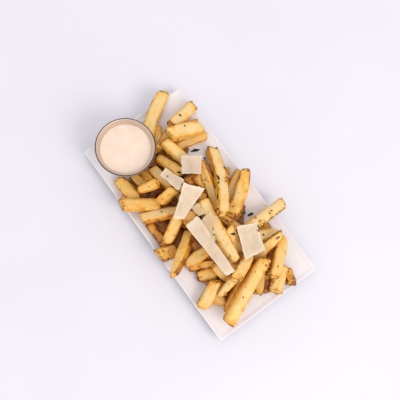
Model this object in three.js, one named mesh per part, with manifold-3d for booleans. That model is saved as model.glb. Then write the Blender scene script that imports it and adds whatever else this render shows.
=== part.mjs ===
// A portion of french fries with cheese shavings, herb flecks and a cup of dip on a flat rectangular plate.
// Millimetres, +Z up. The origin is the middle of the plate's underside. +X runs along the plate, from the cup
// to the far end.
import * as THREE from 'three';
import { mergeVertices } from 'three/addons/utils/BufferGeometryUtils.js';
import Module from 'manifold-3d';

const wasm = await Module();
wasm.setup();

// Plate: a flat slab with a low rounded lip, standing on an inset foot.
const PLATE_LENGTH = 254;
const PLATE_WIDTH = 130;
const PLATE_HEIGHT = 16;
const PLATE_CORNER = 2.5;
const LIP_HEIGHT = 1;
const LIP_WIDTH = 5.5;
const FOOT_INSET = 15;
const FOOT_CORNER = 5;
const FOOT_EDGE = 1.5;
const FOOT_EDGE_RISE = 0.6;
const GROOVE = { inset: FOOT_INSET + 9, width: 4, depth: 1.2, wall: 1, corner: 3 };
const WELL_Z = PLATE_HEIGHT - LIP_HEIGHT;

// The plate's side and lip, from under the side to the edge of the well: distance inwards, and height.
const PLATE_EDGE = [
  [1.6, PLATE_HEIGHT - 7],
  [0.4, PLATE_HEIGHT - 4.5],
  [0, PLATE_HEIGHT - 2.4],
  [0.4, PLATE_HEIGHT - 0.8],
  [1.4, PLATE_HEIGHT],
  [2.8, PLATE_HEIGHT - 0.2],
  [LIP_WIDTH, WELL_Z],
];

// Dip cup: thin steel, flared, with a rolled rim.
const CUP_X = -96;
const CUP_Y = -29;
const CUP_HEIGHT = 34;
const CUP_RIM_RADIUS = 32.4;
const CUP_BASE_RADIUS = 22;
const CUP_WALL = 0.9;
const RIM_BEAD = 1.3;
const DIP_BELOW_RIM = 7;
const ROUND_SIDES = 40;

// Fries, shavings and flecks.
const PLATE_GAP = 0.3;
const SHAVING_GAP = 0.35;
const FRY_SINK = 2;
const BEARING_SHARE = 0.5;
const FLECK_SINK = 0.5;
const FRY_CHAMFER = 0.24;
const FRY_TIP = 2.5;
const FRY_TIP_SCALE = 0.8;
const MAX_FRY_SLOPE = 0.46;
const MAX_SHEET_SLOPE = 0.26;
const SLOPE_STEP = 0.02;
const GRID_HALF_LENGTH = 150;
const GRID_HALF_WIDTH = 95;
const SHAVING_THICKNESS = 1.1;
const SHAVING_WAVE = 0.4;
const FLECK_THICKNESS = 0.9;
const FLECK_CORNERS = [[-1, 0], [0.2, -1], [1, 0], [-0.2, 1]];

// Core: a low mound, with a layer of buried fries on it that the visible ones lie on.
const CORE = { x: 12, y: -3, halfLength: 88, halfWidth: 37, height: 4, skirt: 0.99, cover: 0.2 };
const BURIED = { count: 15, length: 36, width: 11, thickness: 7, turn: 2.4, heading: 1.9, spread: 0.85 };

// The list of fries is a plan, read at the height PLAN_Z by an eye at EYE. Each fry is then moved along the
// line of sight to the height at which it comes to rest.
const EYE = new THREE.Vector3(86, -121, 715);
const PLAN_Z = 28;

// One row for each fry that shows, from the lowest to the highest:
// the plan's x and y of one end and of the other, width, thickness, sideways bow, and roll in degrees.
const FRIES = [
  [-102, 18, -78, -1, 10, 9, 0, 0],
  [-90, 24, -80, 2, 9, 9, 0, 0],
  [-79, 55, -94, 30, 11, 10, 1, 0],
  [-63, 56, -72, 12, 11, 9, 0, 0],
  [-100, 65, -94, 30, 13, 10, 0, 0],
  [-78, -52, -46, -51, 14, 10, 0, 0],
  [-72, -37, -50, -31, 10, 9, 0, 0],
  [-68, -26, -50, -26, 9, 9, 0, 0],
  [-20, -54, 14, -54, 10, 9, 0, 0],
  [16, -66, 21, -46, 17, 10, 0, 0],
  [57, -22, 46, -46, 9, 9, 0, 0],
  [57, 52, 60, 34, 9, 9, 0, 0],
  [74, 56, 57, 24, 14, 9, 0, 0],
  [108, 37, 126, 32, 9, 9, 0, 0],
  [-32, 18, -12, 24, 12, 9, 0, 0],
  [-8, 64, 12, 28, 16, 16, 0, -8],
  [-19, 50, -2, 36, 9, 9, 0, 0],
  [79, -37, 98, -43, 13, 9, 0, 0],
  [74, -31, 87, -61, 15, 10, 0, 0],
  [89, -7, 107, -43, 13, 10, 0, 0],
  [-50, -19, -55, -41, 10, 9, 0, 0],
  [-54, -66, -32, -27, 15, 10, 0, 0],
  [78, 26, 111, -4, 12, 9, 0, 0],
  [102, 38, 120, 11, 15, 10, 0, 0],
  [77, 56, 107, 21, 13, 9, 1, 0],
  [42, -20, 40, -48, 15, 9, 0, 0],
  [66, -25, 59, -45, 14, 10, 0, 0],
  [20, 14, 44, 22, 10, 9, 0, 0],
  [-12, 12, 13, -1, 12, 10, 0, 0],
  [-85, 13, -44, 22, 14, 10, 0, 0],
  [-72, -3, -42, 8, 13, 10, 0, 0],
  [-66, -17, -20, -4, 14, 10, 0, 0],
  [-33, -7, -31, -31, 13, 10, 0, 0],
  [-73, 57, -88, 22, 17, 10, 0, 0],
  [-132, 46, -99, -1, 14, 10, 0, 0],
  [-29, -57, -9, -18, 14, 10, 0, -20],
  [-11, -14, 10, -52, 14, 10, 0, 0],
  [14, -22, 42, -65, 13, 11, 0, 30],
  [-2, -6, 5, -22, 11, 9, 0, 0],
  [48, 79, 49, 26, 14, 9, 0, 0],
  [38, -3, 80, -8, 9, 9, 0, 0],
  [59, -25, 84, -18, 10, 9, 0, 0],
  [82, -9, 88, -38, 10, 9, 0, 0],
  [-7, 68, 26, 22, 15, 11, 4, 0],
  [-42, 33, 14, 18, 12, 9, 0, 25],
  [-46, 51, 21, 17, 13, 10, 3, -18],
  [73, 13, 85, -16, 12, 9, 0, 0],
  [74, 58, 78, 14, 11, 9, 0, 0],
  [34, 16, 62, 7, 12, 9, 0, 0],
  [-11, 15, 70, -1, 13, 10, 0, 0],
  [85, 25, 117, -48, 16, 12, 0, -10],
];

// One row for each cheese shaving, from the lowest to the highest: the plan's x and y of its four corners,
// turning left, with a long side first, and how far its ends curl up.
const SHAVINGS = [
  [-6, -8, 7, -8, 9, 1, -6, 3, 0.5],
  [8, 9, 11, -9, 40, -7, 19, 7, 0.5],
  [-53, -15, -27, -9, -33, 4, -57, -5, 1.5],
  [-59, 17, -41, 5, -28, 23, -45, 37, 1.5],
  [-33, 2, -7, -31, 1, -22, -13, 17, 2],
  [7, -25, 76, -22, 78, -11, 5, -7, 2.5],
  [39, 19, 75, 4, 79, 29, 49, 40, 2],
];

// Herb flecks large enough to see: the plan's x, y, heading in degrees, length and width.
const FLECKS = [
  [-14, 35, -20, 9, 2.4],
  [2, 23, -38, 8, 2],
  [13, 15, 0, 3.5, 2.6],
  [44, 12, 60, 6, 3],
  [76, 50, 88, 7, 2],
  [-97, 43, 20, 4, 2.4],
  [-43, 4, 50, 6, 2.4],
];

const PLATE_MATERIAL = new THREE.MeshStandardMaterial({ color: 0xf2efec, roughness: 0.28, metalness: 0 });
const STEEL_MATERIAL = new THREE.MeshStandardMaterial({ color: 0xc4bfbc, roughness: 0.3, metalness: 1 });
const DIP_MATERIAL = new THREE.MeshStandardMaterial({ color: 0xfbe3cf, roughness: 0.4, metalness: 0 });
const FRY_MATERIAL = new THREE.MeshStandardMaterial({ color: 0xefc878, roughness: 0.55, metalness: 0 });
const CHEESE_MATERIAL = new THREE.MeshStandardMaterial({ color: 0xf0dcc0, roughness: 0.5, metalness: 0 });

// Closes a stack of rings, each a list of as many points, into one solid. The caps meet at the two centres.
function solidOfRings(rings, startCentre, endCentre) {
  const count = rings[0].length;
  const points = [...rings.flat(), startCentre, endCentre];
  const start = points.length - 2;
  const end = points.length - 1;
  const last = (rings.length - 1) * count;
  const triangles = [];
  for (let i = 0; i < count; i++) {
    const next = (i + 1) % count;
    for (let ring = 0; ring < rings.length - 1; ring++) {
      const low = ring * count;
      const high = low + count;
      triangles.push(low + i, low + next, high + next, low + i, high + next, high + i);
    }
    triangles.push(start, next, i, end, last + i, last + next);
  }
  const geometry = new THREE.BufferGeometry();
  const numbers = points.flatMap((point) => point.toArray());
  geometry.setAttribute('position', new THREE.Float32BufferAttribute(numbers, 3));
  geometry.setIndex(triangles);
  return geometry;
}

function middleOf(points) {
  const sum = new THREE.Vector3();
  points.forEach((point) => sum.add(point));
  return sum.divideScalar(points.length);
}

function toManifold(geometry) {
  const bare = geometry.clone();
  bare.deleteAttribute('normal');
  bare.deleteAttribute('uv');
  const merged = mergeVertices(bare, 1e-4);
  return new wasm.Manifold(new wasm.Mesh({
    numProp: 3,
    vertProperties: merged.attributes.position.array,
    triVerts: new Uint32Array(merged.index.array),
  }));
}

function toGeometry(solid) {
  const mesh = solid.getMesh();
  const geometry = new THREE.BufferGeometry();
  geometry.setAttribute('position', new THREE.Float32BufferAttribute(mesh.vertProperties, 3));
  geometry.setIndex([...mesh.triVerts]);
  return geometry;
}

// A joined solid without the hollows that joining seals and without loose scraps.
function mainBody(solid) {
  return solid.decompose().reduce((a, b) => (b.volume() > a.volume() ? b : a));
}

// One rounded rectangle round the plate, a distance in from its edge.
function plateRing(inset, z, corner) {
  const steps = 4;
  const points = [];
  for (let quarter = 0; quarter < 4; quarter++) {
    const alongX = quarter === 0 || quarter === 3 ? 1 : -1;
    const alongY = quarter < 2 ? 1 : -1;
    for (let step = 0; step <= steps; step++) {
      const angle = (quarter + step / steps) * Math.PI / 2;
      points.push(new THREE.Vector3(
        alongX * (PLATE_LENGTH / 2 - inset - corner) + corner * Math.cos(angle),
        alongY * (PLATE_WIDTH / 2 - inset - corner) + corner * Math.sin(angle),
        z,
      ));
    }
  }
  return points;
}

// The plate's rings, from the groove under it, round the foot and the edge to the flat well.
function plateGeometry() {
  const rings = [
    plateRing(GROOVE.inset + GROOVE.width, 0, GROOVE.corner),
    plateRing(GROOVE.inset + GROOVE.width - GROOVE.wall, GROOVE.depth, GROOVE.corner),
    plateRing(GROOVE.inset + GROOVE.wall, GROOVE.depth, GROOVE.corner),
    plateRing(GROOVE.inset, 0, GROOVE.corner),
    plateRing(FOOT_INSET, 0, FOOT_CORNER),
    plateRing(FOOT_INSET - FOOT_EDGE, FOOT_EDGE_RISE, FOOT_CORNER),
    ...PLATE_EDGE.map(([inset, z]) => plateRing(inset, z, PLATE_CORNER)),
  ];
  return solidOfRings(rings, middleOf(rings[0]), middleOf(rings.at(-1)));
}

// Lathe geometry stands on +Y, so it is turned to stand on +Z at the cup's place.
function turned(profile, segments) {
  const geometry = new THREE.LatheGeometry(profile.map(([r, z]) => new THREE.Vector2(r, z)), segments);
  return geometry.rotateX(Math.PI / 2).translate(CUP_X, CUP_Y, WELL_Z + PLATE_GAP);
}

// The cup's outer wall from its foot to under the bead: radius and height.
const CUP_OUTSIDE = [
  [CUP_BASE_RADIUS - 1.5, 0],
  [CUP_BASE_RADIUS, 1.2],
  [CUP_BASE_RADIUS + 2.2, CUP_HEIGHT * 0.36],
  [CUP_BASE_RADIUS + 4.6, CUP_HEIGHT * 0.66],
  [CUP_BASE_RADIUS + 6.4, CUP_HEIGHT * 0.82],
  [CUP_RIM_RADIUS - 1.7 * RIM_BEAD, CUP_HEIGHT - 2.3 * RIM_BEAD],
];

// The inner wall lies a wall's thickness inside the outer one.
const CUP_INSIDE = CUP_OUTSIDE.map(([r, z]) => [r - CUP_WALL, Math.max(z, CUP_WALL)]);

function cupGeometry() {
  const bead = [];
  for (let degrees = -120; degrees <= 180; degrees += 37.5) {
    const angle = THREE.MathUtils.degToRad(degrees);
    bead.push([
      CUP_RIM_RADIUS - RIM_BEAD + RIM_BEAD * Math.cos(angle),
      CUP_HEIGHT - RIM_BEAD + RIM_BEAD * Math.sin(angle),
    ]);
  }
  return turned([[0, 0], ...CUP_OUTSIDE, ...bead, ...CUP_INSIDE.toReversed(), [0, CUP_WALL]], ROUND_SIDES);
}

// The dip fills the cup to its level, a gap in from the wall.
function dipGeometry() {
  const level = CUP_HEIGHT - DIP_BELOW_RIM;
  const under = CUP_INSIDE.filter(([, z]) => z < level);
  const [lowR, lowZ] = under.at(-1);
  const [highR, highZ] = CUP_INSIDE[under.length];
  const levelR = THREE.MathUtils.mapLinear(level, lowZ, highZ, lowR, highR);
  const side = [...under, [levelR, level]].map(([r, z]) => [r - PLATE_GAP, z === level ? z : z + PLATE_GAP]);
  return turned([[0, side[0][1]], ...side, [0, level]], ROUND_SIDES);
}

// The space that the cup takes up with a gap round it, from its foot to above its rim.
function cupSpace() {
  const outside = CUP_OUTSIDE.map(([r, z]) => [r + PLATE_GAP, z]);
  const top = CUP_HEIGHT + 20;
  const rim = CUP_RIM_RADIUS + PLATE_GAP;
  const above = [[rim, CUP_HEIGHT - 2 * RIM_BEAD], [rim, top], [0, top]];
  return turned([[0, -PLATE_GAP], ...outside, ...above], ROUND_SIDES);
}

// The height of what lies on the plate so far, on a grid of whole millimetres.
const rowLength = 2 * GRID_HALF_LENGTH + 1;
const heights = new Float32Array(rowLength * (2 * GRID_HALF_WIDTH + 1));

function cellAt(x, y) {
  return (Math.round(y) + GRID_HALF_WIDTH) * rowLength + Math.round(x) + GRID_HALF_LENGTH;
}

function raise(x, y, z) {
  const cell = cellAt(x, y);
  heights[cell] = Math.max(heights[cell], z);
}

// The core is a dome, uneven along and across like a heap.
function coreHeight(x, y) {
  const along = (x - CORE.x) / CORE.halfLength;
  const across = (y - CORE.y) / CORE.halfWidth;
  const reach = along * along + across * across;
  const bumps = Math.sin(x * 0.19 + 1) * Math.cos(y * 0.23);
  return CORE.height * (1 - reach * reach) + bumps * (1 - reach);
}

function startHeights() {
  for (let x = -GRID_HALF_LENGTH; x <= GRID_HALF_LENGTH; x++) {
    for (let y = -GRID_HALF_WIDTH; y <= GRID_HALF_WIDTH; y++) {
      const inward = Math.min(PLATE_LENGTH / 2 - Math.abs(x), PLATE_WIDTH / 2 - Math.abs(y));
      const plate = inward < LIP_WIDTH ? PLATE_HEIGHT : WELL_Z;
      raise(x, y, inward < 0 ? 0 : plate + PLATE_GAP + FRY_SINK);
      raise(x, y, WELL_Z + PLATE_GAP + Math.max(coreHeight(x, y), 0));
    }
  }
}

function coreGeometry() {
  const spokes = 28;
  const reaches = [1, 0.94, 0.82, 0.64, 0.4];
  const ringAt = (reach, heightOf) => Array.from({ length: spokes }, (_, i) => {
    const angle = i / spokes * 2 * Math.PI;
    const x = CORE.x + CORE.halfLength * reach * Math.cos(angle);
    const y = CORE.y + CORE.halfWidth * reach * Math.sin(angle);
    return new THREE.Vector3(x, y, WELL_Z + PLATE_GAP + heightOf(x, y));
  });
  const topHeight = (x, y) => coreHeight(x, y) + CORE.cover;
  const rings = [ringAt(CORE.skirt, () => 0), ...reaches.map((reach) => ringAt(reach, topHeight))];
  return solidOfRings(rings, middleOf(rings[0]), middleOf(rings.at(-1)));
}

// The buried fries, spread over the core in a spiral, each with a heading of its own.
function buriedFries() {
  return Array.from({ length: BURIED.count }, (_, i) => {
    const reach = BURIED.spread * Math.sqrt((i + 0.5) / BURIED.count);
    const x = CORE.x + CORE.halfLength * reach * Math.cos(i * BURIED.turn);
    const y = CORE.y + CORE.halfWidth * reach * Math.sin(i * BURIED.turn);
    const dx = BURIED.length / 2 * Math.cos(i * BURIED.heading);
    const dy = BURIED.length / 2 * Math.sin(i * BURIED.heading);
    return [x - dx, y - dy, x + dx, y + dy, BURIED.width, BURIED.thickness, 0, 0];
  });
}

// Where the plan's point lies at another height, along the line of sight.
function alongSight(x, y, z) {
  const scale = (EYE.z - z) / (EYE.z - PLAN_Z);
  return new THREE.Vector2(EYE.x + (x - EYE.x) * scale, EYE.y + (y - EYE.y) * scale);
}

// Lays a piece down: of the tilts given, it takes the one that lets its middle lie lowest.
// A footprint is a list of points of its underside, with how far each lies above the underside's plane.
function lay(footprint, middle, tilts) {
  let best = { z: Infinity };
  for (const tilt of tilts) {
    let z = -Infinity;
    for (const { x, y, rise } of footprint) {
      const slope = tilt.x * (x - middle.x) + tilt.y * (y - middle.y);
      z = Math.max(z, heights[cellAt(x, y)] - rise - slope);
    }
    if (z < best.z) {
      best = { z, tilt };
    }
  }
  return (x, y) => best.z + best.tilt.x * (x - middle.x) + best.tilt.y * (y - middle.y);
}

// A fry's middle line seen from above: straight, or bowed to its left.
function fryPath(a, b, bow) {
  const along = b.clone().sub(a).normalize();
  const left = new THREE.Vector2(-along.y, along.x);
  return (t) => a.clone().lerp(b, t).addScaledVector(left, 4 * bow * t * (1 - t));
}

// Points all over a fry's underside. The chamfers rise above its plane.
function fryFootprint(a, b, width, bow) {
  const along = b.clone().sub(a).normalize();
  const left = new THREE.Vector2(-along.y, along.x);
  const path = fryPath(a, b, bow);
  const steps = Math.ceil(a.distanceTo(b));
  const edge = 0.5 - FRY_CHAMFER;
  const points = [];
  for (let step = 0; step <= steps; step++) {
    for (let across = -6; across <= 6; across++) {
      const share = across / 12;
      const point = path(step / steps).addScaledVector(left, share * width);
      points.push({ x: point.x, y: point.y, share, rise: Math.max(Math.abs(share) - edge, 0) * width });
    }
  }
  return points;
}

// Only the middle strip of a fry bears on the others, because fries nestle side by side.
function layFry(a, b, width, bow) {
  const along = b.clone().sub(a).normalize();
  const tilts = [];
  for (let slope = -MAX_FRY_SLOPE; slope <= MAX_FRY_SLOPE; slope += SLOPE_STEP) {
    tilts.push(along.clone().multiplyScalar(slope));
  }
  const footprint = fryFootprint(a, b, width, bow);
  const bearing = footprint.filter(({ share }) => Math.abs(share) <= BEARING_SHARE / 2);
  const underside = lay(bearing, a.clone().lerp(b, 0.5), tilts);
  return { footprint, underside };
}

// One fry with eight sides. It is laid twice: where the plan has it, and then where the eye sees it there.
function fryGeometry([x0, y0, x1, y1, width, thickness, bow, roll]) {
  let a = new THREE.Vector2(x0, y0);
  let b = new THREE.Vector2(x1, y1);
  const first = layFry(a, b, width, bow).underside;
  a = alongSight(x0, y0, first(x0, y0) + thickness);
  b = alongSight(x1, y1, first(x1, y1) + thickness);
  const { footprint, underside } = layFry(a, b, width, bow);
  footprint.forEach(({ x, y, rise }) => raise(x, y, underside(x, y) - FRY_SINK + thickness - rise));

  const path = fryPath(a, b, bow);
  const tip = FRY_TIP / a.distanceTo(b);
  const centreAt = (t) => {
    const { x, y } = path(t);
    return new THREE.Vector3(x, y, underside(x, y) - FRY_SINK + thickness / 2);
  };
  const along = centreAt(1).sub(centreAt(0)).normalize();
  const level = new THREE.Vector3(-along.y, along.x, 0).normalize();
  const side = level.applyAxisAngle(along, THREE.MathUtils.degToRad(roll));
  const up = along.clone().cross(side);
  const flat = 1 - 2 * FRY_CHAMFER;
  const halfSection = [[1, flat], [flat, 1], [-flat, 1], [-1, flat]];
  const section = [...halfSection, ...halfSection.map(([u, v]) => [-u, -v])];
  const stations = [[0, FRY_TIP_SCALE], [tip, 1], [0.5, 1], [1 - tip, 1], [1, FRY_TIP_SCALE]];
  const rings = stations.map(([t, scale]) => {
    const centre = centreAt(t);
    return section.map(([u, v]) => centre.clone()
      .addScaledVector(side, u * scale * width / 2)
      .addScaledVector(up, v * scale * thickness / 2));
  });
  return solidOfRings(rings, centreAt(0), centreAt(1));
}

// Tilts for a thin piece, which can lean any way.
function sheetTilts() {
  const tilts = [];
  for (let x = -MAX_SHEET_SLOPE; x <= MAX_SHEET_SLOPE; x += SLOPE_STEP) {
    for (let y = -MAX_SHEET_SLOPE; y <= MAX_SHEET_SLOPE; y += SLOPE_STEP) {
      tilts.push(new THREE.Vector2(x, y));
    }
  }
  return tilts;
}

// A thin solid with two faces split alike: a grid of points, the lower height at each, and the thickness.
function sheetGeometry(pointAt, lowerZ, thickness, columns, rows) {
  const vertices = [];
  for (const lift of [0, thickness]) {
    for (let row = 0; row <= rows; row++) {
      for (let column = 0; column <= columns; column++) {
        const { x, y } = pointAt(column / columns, row / rows);
        vertices.push(x, y, lowerZ(x, y, column / columns, row / rows) + lift);
      }
    }
  }
  const upper = (columns + 1) * (rows + 1);
  const at = (column, row) => row * (columns + 1) + column;
  const triangles = [];
  for (let row = 0; row < rows; row++) {
    for (let column = 0; column < columns; column++) {
      const [a, b] = [at(column, row), at(column + 1, row)];
      const [c, d] = [at(column + 1, row + 1), at(column, row + 1)];
      triangles.push(a, c, b, a, d, c, upper + a, upper + b, upper + c, upper + a, upper + c, upper + d);
    }
  }
  const wall = (a, b) => triangles.push(a, b, upper + b, a, upper + b, upper + a);
  for (let column = 0; column < columns; column++) {
    wall(at(column, 0), at(column + 1, 0));
    wall(at(column + 1, rows), at(column, rows));
  }
  for (let row = 0; row < rows; row++) {
    wall(at(columns, row), at(columns, row + 1));
    wall(at(0, row + 1), at(0, row));
  }
  const geometry = new THREE.BufferGeometry();
  geometry.setAttribute('position', new THREE.Float32BufferAttribute(vertices, 3));
  geometry.setIndex(triangles);
  return geometry;
}

// Lays a thin four-cornered piece: first where the plan has it, and then where the eye sees it there.
function laySheet(corners) {
  let placed = corners;
  let laid;
  for (let round = 0; round < 2; round++) {
    const [a, b, c, d] = placed;
    const pointAt = (u, v) => a.clone().lerp(b, u).lerp(d.clone().lerp(c, u), v);
    const footprint = [];
    const across = Math.ceil(Math.max(a.distanceTo(b), d.distanceTo(c)));
    const down = Math.ceil(Math.max(a.distanceTo(d), b.distanceTo(c)));
    for (let i = 0; i <= across; i++) {
      for (let j = 0; j <= down; j++) {
        const { x, y } = pointAt(i / across, j / down);
        footprint.push({ x, y, rise: 0 });
      }
    }
    const underside = lay(footprint, pointAt(0.5, 0.5), sheetTilts());
    laid = { pointAt, footprint, underside };
    placed = corners.map(({ x, y }) => alongSight(x, y, underside(x, y)));
  }
  return laid;
}

// A shaving is a wavy sheet whose ends curl up. It lies clear of what is under it.
function shavingGeometry([x0, y0, x1, y1, x2, y2, x3, y3, curl]) {
  const corners = [[x0, y0], [x1, y1], [x2, y2], [x3, y3]].map(([x, y]) => new THREE.Vector2(x, y));
  const { pointAt, footprint, underside } = laySheet(corners);
  const lowerZ = (x, y, u, v) => {
    const ends = (2 * u - 1) ** 2 * curl + (2 * v - 1) ** 2 * curl / 4;
    const wave = SHAVING_WAVE * (1 + Math.sin(x * 0.31 + y * 0.17) * Math.cos(y * 0.27));
    return underside(x, y) + SHAVING_GAP + wave + ends;
  };
  const height = SHAVING_GAP + SHAVING_THICKNESS + 2 * SHAVING_WAVE + curl;
  footprint.forEach(({ x, y }) => raise(x, y, underside(x, y) + height));
  return sheetGeometry(pointAt, lowerZ, SHAVING_THICKNESS, 8, 4);
}

// A fleck is a pointed leaf, sunk a little into what it lies on.
function fleckGeometry([x, y, heading, length, width]) {
  const angle = THREE.MathUtils.degToRad(heading);
  const along = new THREE.Vector2(Math.cos(angle), Math.sin(angle));
  const left = new THREE.Vector2(-along.y, along.x);
  const middle = new THREE.Vector2(x, y);
  const corners = FLECK_CORNERS.map(([u, v]) => middle.clone()
    .addScaledVector(along, u * length / 2)
    .addScaledVector(left, v * width / 2));
  const { pointAt, underside } = laySheet(corners);
  const lowerZ = (px, py) => underside(px, py) - FLECK_SINK;
  return sheetGeometry(pointAt, lowerZ, FLECK_THICKNESS + FLECK_SINK, 2, 2);
}

const group = new THREE.Group();

function addNode(name, geometry, material) {
  const mesh = new THREE.Mesh(geometry, material);
  mesh.name = name;
  group.add(mesh);
}

addNode('plate', plateGeometry(), PLATE_MATERIAL);
addNode('sauce_cup', cupGeometry(), STEEL_MATERIAL);
addNode('dip', dipGeometry(), DIP_MATERIAL);

startHeights();
const fries = [...buriedFries(), ...FRIES];
const heapPieces = [coreGeometry(), ...fries.map(fryGeometry), ...FLECKS.map(fleckGeometry)];
const shavings = SHAVINGS.map(shavingGeometry);
const heap = heapPieces.map(toManifold).reduce((joined, piece) => joined.add(piece));
addNode('fries', toGeometry(mainBody(heap.subtract(toManifold(cupSpace())))), FRY_MATERIAL);
shavings.forEach((shaving, i) => addNode(`cheese_shaving_${i + 1}`, shaving, CHEESE_MATERIAL));

export default group;
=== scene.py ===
import math

import bmesh
import bpy
import numpy as np
from mathutils import Matrix, Vector, noise
from mathutils.bvhtree import BVHTree


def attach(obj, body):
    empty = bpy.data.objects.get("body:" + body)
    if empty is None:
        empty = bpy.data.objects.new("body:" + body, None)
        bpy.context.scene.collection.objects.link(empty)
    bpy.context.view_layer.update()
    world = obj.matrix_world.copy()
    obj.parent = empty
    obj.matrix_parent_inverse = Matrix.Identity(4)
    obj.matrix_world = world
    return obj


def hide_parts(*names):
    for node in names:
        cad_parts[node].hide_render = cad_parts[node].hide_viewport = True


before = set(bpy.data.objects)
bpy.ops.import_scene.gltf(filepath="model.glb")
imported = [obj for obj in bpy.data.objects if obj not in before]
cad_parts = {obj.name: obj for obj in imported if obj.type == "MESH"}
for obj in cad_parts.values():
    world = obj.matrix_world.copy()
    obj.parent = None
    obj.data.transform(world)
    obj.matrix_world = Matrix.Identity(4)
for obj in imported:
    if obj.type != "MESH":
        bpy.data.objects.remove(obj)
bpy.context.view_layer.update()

# Camera: it looks down on the plate from the side of the dip cup's near corner, turned so that the plate
# runs from the upper left of the picture to the lower right.
VIEW_TARGET = Vector((-0.0104, 0.0103, 0))
VIEW_AZIMUTH = math.radians(-53.6)
VIEW_TILT = math.radians(12.84)
VIEW_ROLL = math.radians(17.65)
VIEW_DISTANCE = 0.733
SENSOR = 36
FOCAL_SHARE = 1.63

away = Vector((
    math.sin(VIEW_TILT) * math.cos(VIEW_AZIMUTH),
    math.sin(VIEW_TILT) * math.sin(VIEW_AZIMUTH),
    math.cos(VIEW_TILT),
))
camera_data = bpy.data.cameras.new("camera")
camera_data.lens = SENSOR * FOCAL_SHARE
camera_data.sensor_width = SENSOR
camera = bpy.data.objects.new("camera", camera_data)
bpy.context.scene.collection.objects.link(camera)
turn = away.to_track_quat("Z", "Y").to_matrix().to_4x4()
roll = Matrix.Rotation(VIEW_ROLL, 4, "Z")
camera.matrix_world = Matrix.Translation(VIEW_TARGET + away * VIEW_DISTANCE) @ turn @ roll
bpy.context.scene.camera = camera

# Table, light and picture: a plain pale table under one wide soft light from the far end of the plate, with
# bright light all round, as in a white room.
LIGHT_AT = Vector((1.5, 0.25, 1.6))
LIGHT_SIZE = 1.2
LIGHT_POWER = 19
LIGHT_COLOUR = (1, 0.97, 0.93)
ROOM_COLOUR = (0.97, 0.965, 1.0)
ROOM_STRENGTH = 0.94
TABLE_SIZE = 6
TABLE_COLOUR = (0.80, 0.775, 0.82)


def set_inputs(node, values):
    for name, value in values.items():
        node.inputs[name].default_value = value


def plain_material(name, colour, roughness):
    """A material, its nodes and its one shader, whose colour and roughness may go on to vary."""
    made = bpy.data.materials.new(name)
    made.use_nodes = True
    shader = made.node_tree.nodes["Principled BSDF"]
    set_inputs(shader, {"Base Color": (*colour, 1), "Roughness": roughness})
    return made, made.node_tree, shader


def clouds(tree, scale, detail, roughness=0.5):
    """A cloudy pattern of values from 0 to 1, on the piece's own coordinates in metres."""
    place = tree.nodes.new("ShaderNodeTexCoord")
    cloud = tree.nodes.new("ShaderNodeTexNoise")
    set_inputs(cloud, {"Scale": scale, "Detail": detail, "Roughness": roughness})
    tree.links.new(place.outputs["Object"], cloud.inputs["Vector"])
    return cloud.outputs["Fac"]


def ramp(tree, value, stops):
    """A colour for each value. The stops are values, in rising order, and their colours."""
    made = tree.nodes.new("ShaderNodeValToRGB")
    bar = made.color_ramp
    while len(bar.elements) < len(stops):
        bar.elements.new(0.5)
    for element, (place, colour) in zip(bar.elements, stops):
        element.position = place
        element.color = (*colour, 1)
    tree.links.new(value, made.inputs["Fac"])
    return made.outputs["Color"]


def give_relief(tree, shader, value, strength, depth):
    """Shades a surface as if it rose and fell with a pattern."""
    relief = tree.nodes.new("ShaderNodeBump")
    set_inputs(relief, {"Strength": strength, "Distance": depth})
    tree.links.new(value, relief.inputs["Height"])
    tree.links.new(relief.outputs["Normal"], shader.inputs["Normal"])


def cloudy(tree, shader, colour, shares, drift_scale, grain_scale, grain_strength, grain_depth):
    """Lets a colour drift between a darker and a lighter share of itself, with a fine relief."""
    darker, lighter = (tuple(channel * share for channel in colour) for share in shares)
    drift = ramp(tree, clouds(tree, drift_scale, 3), [(0.35, darker), (0.65, lighter)])
    tree.links.new(drift, shader.inputs["Base Color"])
    give_relief(tree, shader, clouds(tree, grain_scale, 3), grain_strength, grain_depth)


bpy.ops.object.select_all(action="DESELECT")
bpy.ops.mesh.primitive_plane_add(size=TABLE_SIZE, location=(0, 0, 0))
table = bpy.context.object
table.name = "table_top"
table_material, tree, shader = plain_material("pale_table", TABLE_COLOUR, 0.6)
cloudy(tree, shader, TABLE_COLOUR, (0.985, 1.01), 7, 900, 0.05, 0.0002)
table.data.materials.append(table_material)

light_data = bpy.data.lights.new("window_light", "AREA")
light_data.shape = "DISK"
light_data.size = LIGHT_SIZE
light_data.energy = LIGHT_POWER
light_data.color = LIGHT_COLOUR
light = bpy.data.objects.new("window_light", light_data)
bpy.context.scene.collection.objects.link(light)
light.location = LIGHT_AT
light.rotation_euler = (-LIGHT_AT).to_track_quat("-Z", "Y").to_euler()

room = bpy.data.worlds.new("room")
room.use_nodes = True
set_inputs(room.node_tree.nodes["Background"], {"Color": (*ROOM_COLOUR, 1), "Strength": ROOM_STRENGTH})
bpy.context.scene.world = room
bpy.context.scene.view_settings.view_transform = "Standard"

# Plate: one flat slab of white glazed ware, with a low rounded lip and soft corners. It narrows below to a
# foot, in which a groove runs round, and it stands on that foot.
PLATE_SIZE = Vector((0.254, 0.130, 0.016))
PLATE_CORNER = 0.0025
PLATE_SIDE = 0.007
FOOT_INSET = 0.015
LIP_TOP = 0.0014
LIP_SLOPE = 0.0038
LIP_HEIGHT = 0.001
GROOVE_IN = 0.009
GROOVE_WALL = 0.001
GROOVE_FLOOR = 0.002
GROOVE_DEPTH = 0.0012
PLATE_ROUNDING = 0.0006
PLATE_COLOUR = (0.86, 0.81, 0.805)
PLATE_SIDE_PAINTED_SHADE = (0.62, 0.61, 0.65)


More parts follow.
